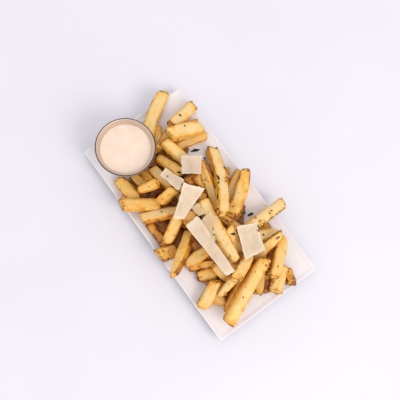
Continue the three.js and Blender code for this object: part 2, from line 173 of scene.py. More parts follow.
def pick(obj, kind, fits):
    """In edit mode, selects only the faces or the edges whose normal or direction passes the test."""
    bpy.ops.mesh.select_mode(type=kind)
    bpy.ops.mesh.select_all(action="DESELECT")
    mesh = bmesh.from_edit_mesh(obj.data)
    for item in mesh.faces if kind == "FACE" else mesh.edges:
        way = item.normal if kind == "FACE" else (item.verts[1].co - item.verts[0].co).normalized()
        if fits(way):
            item.select_set(True)
    mesh.select_flush_mode()
    bmesh.update_edit_mesh(obj.data)


def settle_in(obj, material, name, node):
    """Finishes a piece: its material and name, the body it rides on and the node it stands for."""
    obj.data.materials.append(material)
    obj.name = name
    obj.data.name = name
    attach(obj, "root")
    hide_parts(node)


def step_in(size, distance, rise):
    """Extrudes the picked flat face inwards and up or down, and gives the size that it then has."""
    bpy.ops.mesh.extrude_region_move(TRANSFORM_OT_translate={"value": (0, 0, rise)})
    smaller = (size[0] - 2 * distance, size[1] - 2 * distance)
    bpy.ops.transform.resize(value=(smaller[0] / size[0], smaller[1] / size[1], 1))
    return smaller


def mark_points(obj, name, value_of):
    """Stores a colour at every point of a mesh, worked out from the point."""
    attribute = obj.data.attributes.new(name, "FLOAT_COLOR", "POINT")
    for point, vertex in zip(attribute.data, obj.data.vertices):
        point.color = value_of(vertex.co, vertex.normal)


def plate_marks(point, normal):
    """Red for the sides and the underside, which are greyed as painted shade."""
    return (float(point.z < PLATE_SIZE.z - 2 * PLATE_ROUNDING and normal.z < 0.4), 0, 0, 1)


def stored_marks(tree, name):
    """The stored colour of a mesh, split into Red, Green and Blue."""
    stored = tree.nodes.new("ShaderNodeAttribute")
    stored.attribute_name = name
    split = tree.nodes.new("ShaderNodeSeparateColor")
    tree.links.new(stored.outputs["Color"], split.inputs["Color"])
    return split.outputs


def blend(tree, amount, first, second, kind="MIX"):
    """A first colour that gives way to a second as the amount goes from 0 to 1."""
    mixed = tree.nodes.new("ShaderNodeMix")
    mixed.data_type = "RGBA"
    mixed.blend_type = kind
    mixed.inputs["B"].default_value = (*second, 1)
    tree.links.new(amount, mixed.inputs["Factor"])
    tree.links.new(first, mixed.inputs["A"])
    return mixed.outputs["Result"]


bpy.ops.object.select_all(action="DESELECT")
bpy.ops.mesh.primitive_cube_add(size=1, location=(0, 0, PLATE_SIZE.z / 2), scale=PLATE_SIZE)
plate = bpy.context.object
bpy.ops.object.transform_apply(location=True, rotation=True, scale=True)
bpy.ops.object.mode_set(mode="EDIT")
pick(plate, "EDGE", lambda way: abs(way.z) > 0.9)
bpy.ops.mesh.bevel(offset=PLATE_CORNER, segments=12, affect="EDGES")
bpy.ops.mesh.select_all(action="SELECT")
bpy.ops.mesh.bisect(plane_co=(0, 0, PLATE_SIZE.z - PLATE_SIDE), plane_no=(0, 0, 1))
pick(plate, "FACE", lambda way: way.z < -0.9)
foot = (PLATE_SIZE.x - 2 * FOOT_INSET, PLATE_SIZE.y - 2 * FOOT_INSET)
bpy.ops.transform.resize(value=(foot[0] / PLATE_SIZE.x, foot[1] / PLATE_SIZE.y, 1))
foot = step_in(foot, GROOVE_IN, 0)
foot = step_in(foot, GROOVE_WALL, GROOVE_DEPTH)
foot = step_in(foot, GROOVE_FLOOR, 0)
step_in(foot, GROOVE_WALL, -GROOVE_DEPTH)
pick(plate, "FACE", lambda way: way.z > 0.9)
well = step_in(PLATE_SIZE, LIP_TOP, 0)
step_in(well, LIP_SLOPE, -LIP_HEIGHT)
bpy.ops.object.mode_set(mode="OBJECT")
rounding = plate.modifiers.new("rounding", "BEVEL")
rounding.width = PLATE_ROUNDING
rounding.segments = 4
rounding.limit_method = "ANGLE"
rounding.angle_limit = math.radians(10)
bpy.ops.object.modifier_apply(modifier="rounding")
bpy.ops.object.shade_smooth_by_angle(angle=math.radians(40))
mark_points(plate, "plate_marks", plate_marks)
plate_material, tree, shader = plain_material("white_glaze", PLATE_COLOUR, 0.32)
cloudy(tree, shader, PLATE_COLOUR, (0.985, 1.01), 40, 260, 0.04, 0.0004)
glaze = shader.inputs["Base Color"].links[0].from_socket
# The plate's sides and underside are multiplied grey: painted shade.
side_painted_shade = blend(tree, stored_marks(tree, "plate_marks")["Red"], glaze, PLATE_SIDE_PAINTED_SHADE, "MULTIPLY")
tree.links.new(side_painted_shade, shader.inputs["Base Color"])
set_inputs(shader, {"Coat Weight": 0.35, "Coat Roughness": 0.18})
settle_in(plate, plate_material, "plate_glazed", "plate")

# Dip cup: spun from thin stainless steel, with a flared wall and a rim rolled outwards. It stands on the
# plate's well, near one short side.
CUP_AT = Vector((-0.096, -0.029, 0.0153))
CUP_HEIGHT = 0.034
CUP_RIM_RADIUS = 0.0324
CUP_BASE_RADIUS = 0.022
CUP_WALL = 0.0009
RIM_BEAD = 0.0013
CUP_STEPS = 112
STEEL = (0.62, 0.60, 0.60)
STEEL_PAINTED_DIP_REFLECTION = (0.74, 0.60, 0.49)
RIM_PAINTED_DARK_REFLECTION = (0.09, 0.065, 0.058)
LATHE_STRETCH = (12, 12, 2600)

# The outside of the cup's wall from its foot up to under the rim, as radii and heights.
CUP_OUTSIDE = [
    (CUP_BASE_RADIUS - 0.0015, 0),
    (CUP_BASE_RADIUS, 0.0012),
    (CUP_BASE_RADIUS + 0.0022, CUP_HEIGHT * 0.36),
    (CUP_BASE_RADIUS + 0.0046, CUP_HEIGHT * 0.66),
    (CUP_BASE_RADIUS + 0.0064, CUP_HEIGHT * 0.82),
    (CUP_RIM_RADIUS - 1.7 * RIM_BEAD, CUP_HEIGHT - 2.3 * RIM_BEAD),
]


def open_mesh(obj):
    """Picks one object alone and goes into edit mode."""
    bpy.ops.object.select_all(action="DESELECT")
    obj.select_set(True)
    bpy.context.view_layer.objects.active = obj
    bpy.ops.object.mode_set(mode="EDIT")
    bpy.ops.mesh.select_all(action="SELECT")


def close_mesh():
    """Merges points that lie on each other, faces the whole skin outwards and leaves edit mode."""
    bpy.ops.mesh.select_all(action="SELECT")
    bpy.ops.mesh.remove_doubles(threshold=1e-6)
    bpy.ops.mesh.normals_make_consistent(inside=False)
    bpy.ops.object.mode_set(mode="OBJECT")


def spun(profile, name, at):
    """Spins a profile of radii and heights round an upright axis into one closed solid."""
    mesh = bpy.data.meshes.new(name)
    points = [(radius, 0, height) for radius, height in profile]
    mesh.from_pydata(points, [(i, i + 1) for i in range(len(points) - 1)], [])
    made = bpy.data.objects.new(name, mesh)
    bpy.context.scene.collection.objects.link(made)
    open_mesh(made)
    bpy.ops.mesh.spin(steps=CUP_STEPS, angle=2 * math.pi, center=(0, 0, 0), axis=(0, 0, 1))
    close_mesh()
    made.location = at
    bpy.ops.object.transform_apply(location=True, rotation=True, scale=True)
    return made


def rounded_profile(points, steps):
    """The same wall in short steps, with its bends eased."""
    radii, heights = zip(*points)
    fine = np.linspace(0, len(points) - 1, (len(points) - 1) * steps + 1)
    places = np.arange(len(points))
    padded = np.pad(np.interp(fine, places, radii), steps // 2, "edge")
    eased = np.convolve(padded, np.ones(steps + 1) / (steps + 1), "valid")
    eased[0], eased[-1] = radii[0], radii[-1]
    return list(zip(eased, np.interp(fine, places, heights)))


cup_outside = rounded_profile(CUP_OUTSIDE[1:], 6)
cup_inside = [(radius - CUP_WALL, max(height, CUP_WALL)) for radius, height in cup_outside]
bead = []
for degrees in range(-120, 181, 15):
    angle = math.radians(degrees)
    bead.append((
        CUP_RIM_RADIUS - RIM_BEAD + RIM_BEAD * math.cos(angle),
        CUP_HEIGHT - RIM_BEAD + RIM_BEAD * math.sin(angle),
    ))
cup_profile = [(0, 0), CUP_OUTSIDE[0], *cup_outside, *bead, *reversed(cup_inside), (0, CUP_WALL)]
cup = spun(cup_profile, "cup", CUP_AT)
bpy.ops.object.shade_smooth_by_angle(angle=math.radians(50))


def cup_marks(point, normal):
    """Red for the inside, tinted the dip's colour as a painted reflection of the dip, and green for a dark
    line on the crown of the rolled edge, a painted dark reflection.
    """
    way = point.xy - CUP_AT.xy
    height = point.z - CUP_AT.z
    inside = way.length < CUP_RIM_RADIUS - 1.2 * RIM_BEAD and normal.xy.dot(way) < 0
    on_bead = height > CUP_HEIGHT - 1.4 * RIM_BEAD
    # The crown of the rolled edge is painted dark: a painted reflection, not a seam.
    painted_rim_line = on_bead and CUP_RIM_RADIUS - 1.2 * RIM_BEAD < way.length < CUP_RIM_RADIUS - 0.2 * RIM_BEAD
    return (float(inside), float(painted_rim_line), 0, 1)


def reckoned(tree, operation, *terms):
    """A sum or a product of terms, each of them a number or an output of another node."""
    made = tree.nodes.new("ShaderNodeMath")
    made.operation = operation
    for slot, term in zip(made.inputs, terms):
        if isinstance(term, (int, float)):
            slot.default_value = term
        else:
            tree.links.new(term, slot)
    return made.outputs[0]


def rescaled(tree, value, low, high, start=0, end=1):
    """Goes from low to high while the value goes from start to end."""
    made = tree.nodes.new("ShaderNodeMapRange")
    set_inputs(made, {"From Min": start, "From Max": end, "To Min": low, "To Max": high})
    tree.links.new(value, made.inputs["Value"])
    return made.outputs["Result"]


mark_points(cup, "cup_marks", cup_marks)
steel, tree, shader = plain_material("spun_steel", STEEL, 0.3)
shader.inputs["Metallic"].default_value = 1
cup_zones = stored_marks(tree, "cup_marks")
# The inside of the cup is tinted the dip's colour: a painted reflection of the dip in the steel.
painted_dip_reflection = ramp(tree, cup_zones["Red"], [(0, STEEL), (1, STEEL_PAINTED_DIP_REFLECTION)])
# The dark line on the rim's crown is a painted dark reflection.
tree.links.new(blend(tree, cup_zones["Green"], painted_dip_reflection, RIM_PAINTED_DARK_REFLECTION), shader.inputs["Base Color"])
worn = rescaled(tree, clouds(tree, 150, 3), 0.22, 0.42)
tree.links.new(reckoned(tree, "MULTIPLY_ADD", cup_zones["Red"], 0.25, worn), shader.inputs["Roughness"])
place = tree.nodes.new("ShaderNodeTexCoord")
stretch = tree.nodes.new("ShaderNodeMapping")
stretch.inputs["Scale"].default_value = LATHE_STRETCH
lathe_lines = tree.nodes.new("ShaderNodeTexNoise")
lathe_lines.inputs["Scale"].default_value = 1
tree.links.new(place.outputs["Object"], stretch.inputs["Vector"])
tree.links.new(stretch.outputs["Vector"], lathe_lines.inputs["Vector"])
give_relief(tree, shader, lathe_lines.outputs["Fac"], 0.12, 0.0001)
settle_in(cup, steel, "sauce_cup_steel", "sauce_cup")

# Dip: a pale, creamy sauce that fills the cup to about 7 mm below its rim. Its top keeps the soft folds of
# the spoon, and it creeps up where it meets the wall.
DIP_LEVEL = CUP_HEIGHT - 0.0074
DIP_EDGE = DIP_LEVEL + 0.0004
DIP_CREEP = 0.0006
DIP_GAP = 0.00006
DIP_RINGS = 39
FOLD_HEIGHT = 0.0007
LUMP_HEIGHT = 0.0003
FOLD_DEPTH = 0.0011
DIP_CREAM = (0.90, 0.71, 0.57)


def let_light_in(shader, weight, reaches, scale):
    """Lets some light pass into a surface, with a reach each for red, green and blue."""
    shader.inputs["Subsurface Weight"].default_value = weight
    shader.inputs["Subsurface Radius"].default_value = reaches
    shader.inputs["Subsurface Scale"].default_value = scale


inside_radii, inside_heights = zip(*cup_inside)
level_radius = float(np.interp(DIP_EDGE, inside_heights, inside_radii))
dip_side = [(radius - DIP_GAP, height + DIP_GAP) for radius, height in cup_inside if height < DIP_LEVEL]
dip_top = []
for share in np.linspace(1, 0, DIP_RINGS + 1)[:-1]:
    creep = DIP_CREEP * math.exp((share - 1) * 22)
    dip_top.append(((level_radius - DIP_GAP) * share, DIP_LEVEL + creep))
dip = spun([(0, dip_side[0][1]), *dip_side, *dip_top, (0, DIP_LEVEL)], "dip", CUP_AT)
for vertex in dip.data.vertices:
    if vertex.co.z > CUP_AT.z + DIP_LEVEL - FOLD_DEPTH:
        reach = (vertex.co.xy - CUP_AT.xy).length / level_radius
        fold = noise.noise(Vector((vertex.co.x * 60, vertex.co.y * 130, 3)))
        lump = noise.noise(Vector((vertex.co.x * 150, vertex.co.y * 150, 9)))
        vertex.co.z += (FOLD_HEIGHT * fold + LUMP_HEIGHT * lump) * max(0, 1 - reach ** 4)
bpy.ops.object.shade_smooth_by_angle(angle=math.radians(60))
dip_material, tree, shader = plain_material("creamy_dip", DIP_CREAM, 0.3)
cloudy(tree, shader, DIP_CREAM, (0.95, 1.04), 70, 500, 0.05, 0.0003)
let_light_in(shader, 0.2, (1, 0.5, 0.3), 0.003)
settle_in(dip, dip_material, "dip_cream", "dip")

# How the heap comes to rest: fries and shavings are laid one after the other on a map of heights, in mm,
# which starts as the plate with a low mound on it. A piece takes the tilt that lets its middle lie lowest.
MM = 0.001
PLATE_TOP = round(PLATE_SIZE.z / MM, 3)
WELL_Z = PLATE_TOP - LIP_HEIGHT / MM
LIP_WIDTH = 5.5
PLATE_GAP = 0.3
FRY_SINK = 2
BEARING_SHARE = 0.5
FRY_CHAMFER = 0.24
MAX_FRY_SLOPE = 0.46
SLOPE_STEP = 0.02
MAP_HALF = (150, 95)
CORE_AT = (12, -3)
CORE_HALF = (88, 37)
CORE_HEIGHT = 4

# The eye in whole mm, and the height of the plan on which the tables place things as the eye sees them.
EYE = [round(part / MM) for part in VIEW_TARGET + away * VIEW_DISTANCE]
PLAN_Z = 28

heights = np.zeros((2 * MAP_HALF[1] + 1, 2 * MAP_HALF[0] + 1), np.float32)


def cells(x, y):
    """The map's rows and columns at points in mm."""
    rows = np.floor(np.asarray(y) + 0.5).astype(int) + MAP_HALF[1]
    return rows, np.floor(np.asarray(x) + 0.5).astype(int) + MAP_HALF[0]


def raise_map(x, y, z):
    np.maximum.at(heights, cells(x, y), np.asarray(z, np.float32))


def core_height(x, y):
    along = (x - CORE_AT[0]) / CORE_HALF[0]
    across = (y - CORE_AT[1]) / CORE_HALF[1]
    reach = along * along + across * across
    return CORE_HEIGHT * (1 - reach * reach) + np.sin(x * 0.19 + 1) * np.cos(y * 0.23) * (1 - reach)


map_x, map_y = np.meshgrid(*(np.arange(-half, half + 1) for half in MAP_HALF))
inward = np.minimum(PLATE_SIZE.x / MM / 2 - np.abs(map_x), PLATE_SIZE.y / MM / 2 - np.abs(map_y))
plate_map = np.where(inward < LIP_WIDTH, PLATE_TOP, WELL_Z) + PLATE_GAP + FRY_SINK
raise_map(map_x, map_y, np.where(inward < 0, 0, plate_map))
raise_map(map_x, map_y, WELL_Z + PLATE_GAP + np.maximum(core_height(map_x, map_y), 0))


def along_sight(point, z):
    """Where the plan's point lies at another height, along the line of sight."""
    eye = np.array(EYE[:2])
    return eye + (np.asarray(point) - eye) * (EYE[2] - z) / (EYE[2] - PLAN_Z)


def lay(points, rise, middle, tilts):
    """Lays a piece down, and returns the height of its underside at any point."""
    slopes = tilts @ (points - middle).T
    lowest = (heights[cells(points[:, 0], points[:, 1])] - rise - slopes).max(axis=1)
    best = int(np.argmin(lowest))
    return lambda point: lowest[best] + (np.asarray(point) - middle) @ tilts[best]


class LaidFry:
    """A fry where it has come to rest: its middle line from above, its underside and its size."""

    def __init__(self, a, b, width, thickness, bow):
        self.a, self.b = np.asarray(a, float), np.asarray(b, float)
        self.width, self.thickness, self.bow = width, thickness, bow
        self.length = np.linalg.norm(self.b - self.a)
        along = (self.b - self.a) / self.length
        self.left = np.array([-along[1], along[0]])
        steps = math.ceil(self.length)
        share, step = np.meshgrid(np.arange(-6, 7) / 12, np.arange(steps + 1) / steps)
        self.points = self.path(step.ravel()) + np.outer(share.ravel() * width, self.left)
        self.rise = np.maximum(np.abs(share.ravel()) - (0.5 - FRY_CHAMFER), 0) * width
        slopes = np.arange(-MAX_FRY_SLOPE, MAX_FRY_SLOPE + SLOPE_STEP / 2, SLOPE_STEP)
        bearing = np.abs(share.ravel()) <= BEARING_SHARE / 2
        middle = (self.a + self.b) / 2
        self.underside = lay(self.points[bearing], self.rise[bearing], middle, np.outer(slopes, along))

    def path(self, t):
        t = np.asarray(t)[..., None]
        return self.a + (self.b - self.a) * t + self.left * 4 * self.bow * t * (1 - t)

    def top(self, point):
        return self.underside(point) + self.thickness

    def raise_under(self):
        z = self.top(self.points) - FRY_SINK - self.rise
        raise_map(self.points[:, 0], self.points[:, 1], z)

    def middle_at(self, t):
        """Points of the middle line in mm."""
        flat = self.path(t)
        return np.column_stack([flat, self.underside(flat) - FRY_SINK + self.thickness / 2])


def rest_fry(x0, y0, x1, y1, width, thickness, bow):
    """Lays a fry where the plan has it, and then where the eye sees it there."""
    first = LaidFry((x0, y0), (x1, y1), width, thickness, bow)
    ends = [along_sight(end, first.top(end)) for end in (first.a, first.b)]
    fry = LaidFry(*ends, width, thickness, bow)
    fry.raise_under()
    return fry


# Fries: sticks of potato cut with the skin on and fried. Each is golden on its faces and browner along its
# edges and at its cut ends, and some have a strip of dark skin. They lie loose on each other.
BURIED_COUNT = 15
BURIED_LENGTH = 36
BURIED_WIDTH = 11
BURIED_THICKNESS = 7
BURIED_REACH = 0.85
BURIED_TURN = 2.4
BURIED_HEADING = 1.9
STATION_STEP = 2.2
END_STATIONS = ((0, 0.74), (0.4, 0.86), (1.1, 0.94), (2.2, 0.985), (3.8, 1))
END_FACE_SHARE = 0.74
NARROWS_OVER = 0.45
CUT_REACH = 9
DARK_TIP_REACH = 3.2

# One row for each fry that shows, from the lowest to the highest, in mm on the plan: the two ends, width,
# thickness, sideways bow, roll in degrees, how brown it is, and how far its first and last end narrow.
# The browning is each fry's own, and for some fries it is also raised or lowered as painted shade and
# painted light.
FRIES = [
    (-102, 18, -78, -1, 10, 9, 0, 0, 0.45, 0, 0),
    (-90, 24, -80, 2, 9, 9, 0, 0, 0.4, 0, 0),
    (-79, 55, -94, 30, 11, 10, 1, 0, 0.6, 0, 0),
    (-63, 56, -72, 12, 11, 9, 0, 0, 0.25, 0.1, 0),
    (-100, 65, -94, 30, 13, 10, 0, 0, 0.05, 0, 0),
    (-78, -52, -46, -51, 14, 10, 0, 0, 0.36, 0.2, 0),
    (-72, -37, -50, -31, 10, 9, 0, 0, 0.4, 0, 0),
    (-68, -26, -50, -26, 9, 9, 0, 0, 0.75, 0, 0),
    (-20, -54, 14, -54, 10, 9, 0, 0, 0.85, 0, 0),
    (16, -66, 21, -46, 17, 10, 0, 0, 0.45, 0, 0),
    (57, -22, 46, -46, 9, 9, 0, 0, 0.5, 0, 0),
    (57, 52, 60, 34, 9, 9, 0, 0, 0.75, 0, 0),
    (74, 56, 57, 24, 14, 9, 0, 0, 0.3, 0.3, 0),
    (108, 37, 126, 32, 9, 9, 0, 0, 0.6, 0, 0.2),
    (-32, 18, -12, 24, 12, 9, 0, 0, 0.4, 0, 0),
    (-8, 64, 12, 28, 16, 16, 0, -8, 0.05, 0.2, 0),
    (-19, 50, -2, 36, 9, 9, 0, 0, 0.5, 0, 0),
    (79, -37, 98, -43, 13, 9, 0, 0, 0.25, 0, 0.1),
    (74, -31, 87, -61, 15, 10, 0, 0, 0.1, 0, 0.1),
    (89, -7, 107, -43, 13, 10, 0, 0, 0.85, 0, 0),
    (-50, -19, -55, -41, 10, 9, 0, 0, 0.2, 0, 0),
    (-54, -66, -32, -27, 15, 10, 0, 0, 0.35, 0, 0),
    (78, 26, 111, -4, 12, 9, 0, 0, 0.25, 0, 0),
    (102, 38, 120, 11, 15, 10, 0, 0, 0.15, 0.15, 0.1),
    (77, 56, 107, 21, 13, 9, 1, 0, 0.15, 0.2, 0),
    (42, -20, 40, -48, 15, 9, 0, 0, 0.2, 0, 0.6),
    (66, -25, 59, -45, 14, 10, 0, 0, 0.2, 0, 0),
    (20, 14, 44, 22, 10, 9, 0, 0, 0.25, 0, 0),
    (-12, 12, 13, -1, 12, 10, 0, 0, 0.5, 0, 0),
    (-85, 13, -44, 22, 14, 10, 0, 0, 0.2, 0, 0),
    (-72, -3, -42, 8, 13, 10, 0, 0, 0.4, 0, 0),
    (-66, -17, -20, -4, 14, 10, 0, 0, 0.1, 0, 0),
    (-33, -7, -31, -31, 13, 10, 0, 0, 0.3, 0, 0),
    (-73, 57, -88, 22, 17, 10, 0, 0, 0.05, 0.3, 0.1),
    (-132, 46, -99, -1, 14, 10, 0, 0, 0.1, 0, 0),
    (-29, -57, -9, -18, 14, 10, 0, -20, 0, 0, 0),
    (-11, -14, 10, -52, 14, 10, 0, 0, 0.2, 0, 0.1),
    (14, -22, 42, -65, 13, 11, 0, 30, 0.3, 0, 0.4),
    (-2, -6, 5, -22, 11, 9, 0, 0, 0.4, 0, 0),
    (48, 79, 49, 26, 14, 9, 0, 0, 0.05, 0, 0),
    (38, -3, 80, -8, 9, 9, 0, 0, 0.3, 0, 0),
    (59, -25, 84, -18, 10, 9, 0, 0, 0.2, 0, 0),
    (82, -9, 88, -38, 10, 9, 0, 0, 0.1, 0, 0.4),
    (-7, 68, 26, 22, 15, 11, 4, 0, 0.2, 0.4, 0),
    (-42, 33, 14, 18, 12, 9, 0, 25, 0.35, 0.1, 0),
    (-46, 51, 21, 17, 13, 10, 3, -18, 0, 0, 0.1),
    (73, 13, 85, -16, 12, 9, 0, 0, 0.2, 0, 0),
    (74, 58, 78, 14, 11, 9, 0, 0, 0.1, 0.4, 0),
    (34, 16, 62, 7, 12, 9, 0, 0, 0.1, 0, 0),
    (-11, 15, 70, -1, 13, 10, 0, 0, 0.05, 0, 0.35),
    (85, 25, 117, -48, 16, 12, 0, -10, 0.2, 0, 0.1),
]

# Fries with a dark rim of skin round their first end, by the plan's x and y of that end.
DARK_TIPS = {(-132, 46), (-100, 65), (-7, 68), (48, 79), (-46, 51)}

draw = np.random.default_rng(7)

# Short fries at the bottom, seen only as dark brown shapes between the others, browned past the ramp's end
# as painted shade in the gaps. Two ends in mm on the plan.
BOTTOM_FRIES = [
    (-84, 9, -62, -6),
    (-76, 9, -48, 12),
    (-70, -43, -44, -40),
    (-50, -32, -33, -12),
    (-24, -49, 6, -36),
    (-44, -26, -36, -44),
    (-8, -46, 10, -42),
    (22, -38, 12, -56),
    (-16, -32, -4, -52),
    (8, -30, 24, -52),
    (22, -26, 44, -38),
    (48, -24, 58, -40),
    (58, -31, 84, -32),
    (78, -22, 96, -36),
    (70, -14, 92, -22),
    (84, 2, 100, -24),
    (88, 30, 104, 8),
    (80, 42, 92, 26),
    (92, 26, 106, 14),
    (60, 48, 66, 24),
    (30, 28, 52, 26),
    (-6, 48, 8, 30),
    (-30, 40, -10, 28),
    (-44, 30, -30, 12),
    (104, 16, 112, 2),
    (-76, -3, -68, -16),
    (34, -36, 40, -50),
    (-4, -6, 6, -22),
    (58, -46, 70, -34),
    (92, 44, 98, 26),
    (24, 40, 40, 24),
    (-66, 30, -54, 14),
]
BOTTOM_WIDTH = 9
BOTTOM_THICKNESS = 6.5
# Browner than any fry on top: painted shade deep in the gaps.
BOTTOM_BROWN_AS_SHADE = 1.4


def buried_fries():
    """Short fries over the core, in a spiral, each with a heading of its own, fully browned as painted
    shade deep in the heap.
    """
    rows = []
    for i in range(BURIED_COUNT):
        reach = BURIED_REACH * math.sqrt((i + 0.5) / BURIED_COUNT)
        x = CORE_AT[0] + CORE_HALF[0] * reach * math.cos(i * BURIED_TURN)
        y = CORE_AT[1] + CORE_HALF[1] * reach * math.sin(i * BURIED_TURN)
        dx = BURIED_LENGTH / 2 * math.cos(i * BURIED_HEADING)
        dy = BURIED_LENGTH / 2 * math.sin(i * BURIED_HEADING)
        # Browning 1: painted shade deep in the heap.
        rows.append((x - dx, y - dy, x + dx, y + dy, BURIED_WIDTH, BURIED_THICKNESS, 0, 0, 1, 0, 0))
    return rows


def section_outline(corner, hollow, narrow_top, skew):
    """A rounded square with sunken faces, as pairs of shares of half the width and half the thickness."""
    pairs = []
    for quarter in range(4):
        middle = (quarter + 0.5) * math.pi / 2
        u = math.copysign(1 - corner, math.cos(middle))
        v = math.copysign(1 - corner, math.sin(middle))
        for step in range(5):
            angle = (quarter + step / 4) * math.pi / 2
            pairs.append((u + corner * math.cos(angle), v + corner * math.sin(angle)))
        outwards = Vector((math.cos(angle), math.sin(angle)))
        onwards = Vector((-outwards.y, outwards.x))
        for share in (0.25, 0.5, 0.75):
            sink = 4 * hollow * share * (1 - share)
            pairs.append(outwards * (1 - sink) + onwards * (1 - corner) * (2 * share - 1))
    return [(u * (1 - narrow_top * (v + 1) / 2) + skew * v, v) for u, v in pairs]


def wobble(point, scale, seed):
    """Smooth noise about nought at a point in mm."""
    x, y, z = point
    return noise.noise(Vector((x * scale + seed * 7.3, y * scale - seed * 3.1, z * scale + seed)))


def smooth_step(value, low, high):
    share = min(max((value - low) / (high - low), 0), 1)
    return share * share * (3 - 2 * share)


def stations_along(length):
    """Places along a fry and how full it is there: its two ends are eased."""
    last = END_STATIONS[-1][0]
    places = list(END_STATIONS)
    places += [(d, 1) for d in np.arange(last + STATION_STEP / 2, length - last, STATION_STEP)]
    places += [(length - d, full) for d, full in reversed(END_STATIONS)]
    return places


def narrowed(t, share):
    """How wide a fry still is at a share of its length, where its first end narrows."""
    return 1 - share * max(0, 1 - t / NARROWS_OVER) ** 1.4


def fry_end(rim, rim_marks, hollow, brown, seed):
    """The sunken, torn face that closes a fry: its points and their marks, the middle last."""
    centre = sum(rim, Vector()) / len(rim)
    tone = rim_marks[0][1]
    points, marks = [], []
    for point, mark in zip(rim, rim_marks):
        rough = wobble(point / MM, 0.7, seed)
        points.append(centre + (point - centre) * END_FACE_SHARE + hollow * (1 + rough))
        marks.append((min(1, 0.35 + 0.5 * brown + 0.4 * rough), tone, 0.3 * mark[2], 1))
    points.append(centre + hollow * 1.2)
    marks.append((min(1, 0.25 + 0.6 * brown), tone, 0, 1))
    return points, marks


def fry_rings(fry, roll, narrow_first, narrow_last):
    """The way a fry runs, and rings of points round it, with each point's outline shares and way out."""
    length = fry.length
    stations = stations_along(length)
    outline = section_outline(
        draw.uniform(0.4, 0.68), draw.uniform(0, 0.09), draw.uniform(-0.04, 0.22), draw.uniform(-0.12, 0.12)
    )
    axis = fry.middle_at([0, 1])
    along = Vector(axis[1] - axis[0]).normalized()
    level = Vector((-along.y, along.x, 0)).normalized()
    slant = draw.uniform(-0.35, 0.35, 2)
    lean = draw.uniform(-0.2, 0.2, 2)
    twist = math.radians(draw.uniform(-20, 20))
    tilt = math.radians(roll + draw.uniform(-9, 9))
    bend = draw.uniform(-1.0, 1.0) * min(1.8, length / 26)
    sag = draw.uniform(-0.8, 0.5)
    uneven = draw.uniform(0.9, 1.1, 2)
    rings = []
    middles = fry.middle_at([d / length for d, _ in stations])
    for (d, full), middle in zip(stations, middles):
        t = d / length
        side = Matrix.Rotation(tilt + twist * (t - 0.5), 3, along) @ level
        up = along.cross(side)
        arch = 4 * t * (1 - t)
        taper = narrowed(t, narrow_first) * narrowed(1 - t, narrow_last)
        wide = fry.width / 2 * full * taper * (uneven[0] + (uneven[1] - uneven[0]) * t)
        thick = fry.thickness / 2 * full * math.sqrt(taper)
        centre = Vector(middle) + side * bend * (arch - 0.5) + up * sag * (arch - 0.4)
        near_first = max(0, 1 - d / CUT_REACH)
        near_last = max(0, 1 - (length - d) / CUT_REACH)
        ring = []
        for u, v in outline:
            point = centre + side * u * wide + up * v * thick
            point += along * (u * (slant[0] * near_first + slant[1] * near_last) * fry.width / 2)
            point += along * (v * (lean[0] * near_first + lean[1] * near_last) * fry.thickness / 2)
            ring.append((point, u, v, (side * u + up * v).normalized()))
        rings.append((d, ring))
    return along, rings


def fry_solid(fry, roll, brown, narrow_first, narrow_last, dark_tip, seed):
    """The points, faces and marks of one fry. The marks are its browning, its tone and its skin."""
    along, rings = fry_rings(fry, roll, narrow_first, narrow_last)
    tone = draw.uniform()
    flank_gold_and_shade = draw.uniform(0.16, 0.42) + abs(roll) / 75
    skin_side = draw.choice([-1, 0, 1])
    points, marks = [], []
    for d, ring in rings:
        from_end = min(d, fry.length - d)
        tip = smooth_step(DARK_TIP_REACH - d, 0, 1.3) if dark_tip else 0
        for point, u, v, outward in ring:
            soft = wobble(point, 0.12, seed)
            rough = wobble(point, 0.6, seed + 40)
            fine = wobble(point, 1.6, seed + 60)
            points.append((point + outward * (0.75 * soft + 0.28 * rough + 0.1 * fine)) * MM)
            edge = smooth_step(abs(u * v), 0.42, 0.7) * smooth_step(soft + 0.6 * rough, -0.4, 0.35)
            patch = smooth_step(wobble(point, 0.1, seed + 80) + 0.3 * rough, 0.1, 0.5)
            end = math.exp(-from_end / 1.1) * (0.75 + rough) + 0.3 * math.exp(-from_end / 5)
            # Side faces are browner, more so on rolled fries: partly their own browning, partly painted
            # shade on the side faces.
            flank_browning_and_shade = flank_gold_and_shade * smooth_step(abs(u), 0.72, 0.95)
            shade = 0.7 * brown + 0.4 * edge + 0.62 * end + 0.28 * patch + 0.1 * fine + flank_browning_and_shade
            strip = smooth_step(u * skin_side + 0.12 * rough, 0.8, 0.93)
            strip *= smooth_step(soft + rough, -0.5, 0.1)
            end_skin = math.exp(-from_end / 0.7) * smooth_step(rough + soft, 0, 0.3)
            tip_skin = tip * smooth_step(rough + 0.4 * soft, -0.25, 0.1)
            skin = min(1, max(strip, end_skin, tip_skin))
            marks.append((min(1, max(0, shade)), tone, skin, 1))
    count = len(rings[0][1])
    faces = []
    for ring in range(len(rings) - 1):
        for i in range(count):
            low, low_next = ring * count + i, ring * count + (i + 1) % count
            faces.append((low, low_next, low_next + count, low + count))
    for ring, inwards in ((0, 1), (len(rings) - 1, -1)):
        around = slice(ring * count, (ring + 1) * count)
        hollow = along * inwards * draw.uniform(0.1, 0.6) * MM
        first = len(points)
        end_points, end_marks = fry_end(points[around], marks[around], hollow, brown, seed)
        points += end_points
        marks += end_marks
        for i in range(count):
            a, b = ring * count + i, ring * count + (i + 1) % count
            c, d = first + (i + 1) % count, first + i
            faces.append((a, d, c, b) if inwards == 1 else (a, b, c, d))
            faces.append((d, first + count, c) if inwards == 1 else (d, c, first + count))
    return points, faces, marks


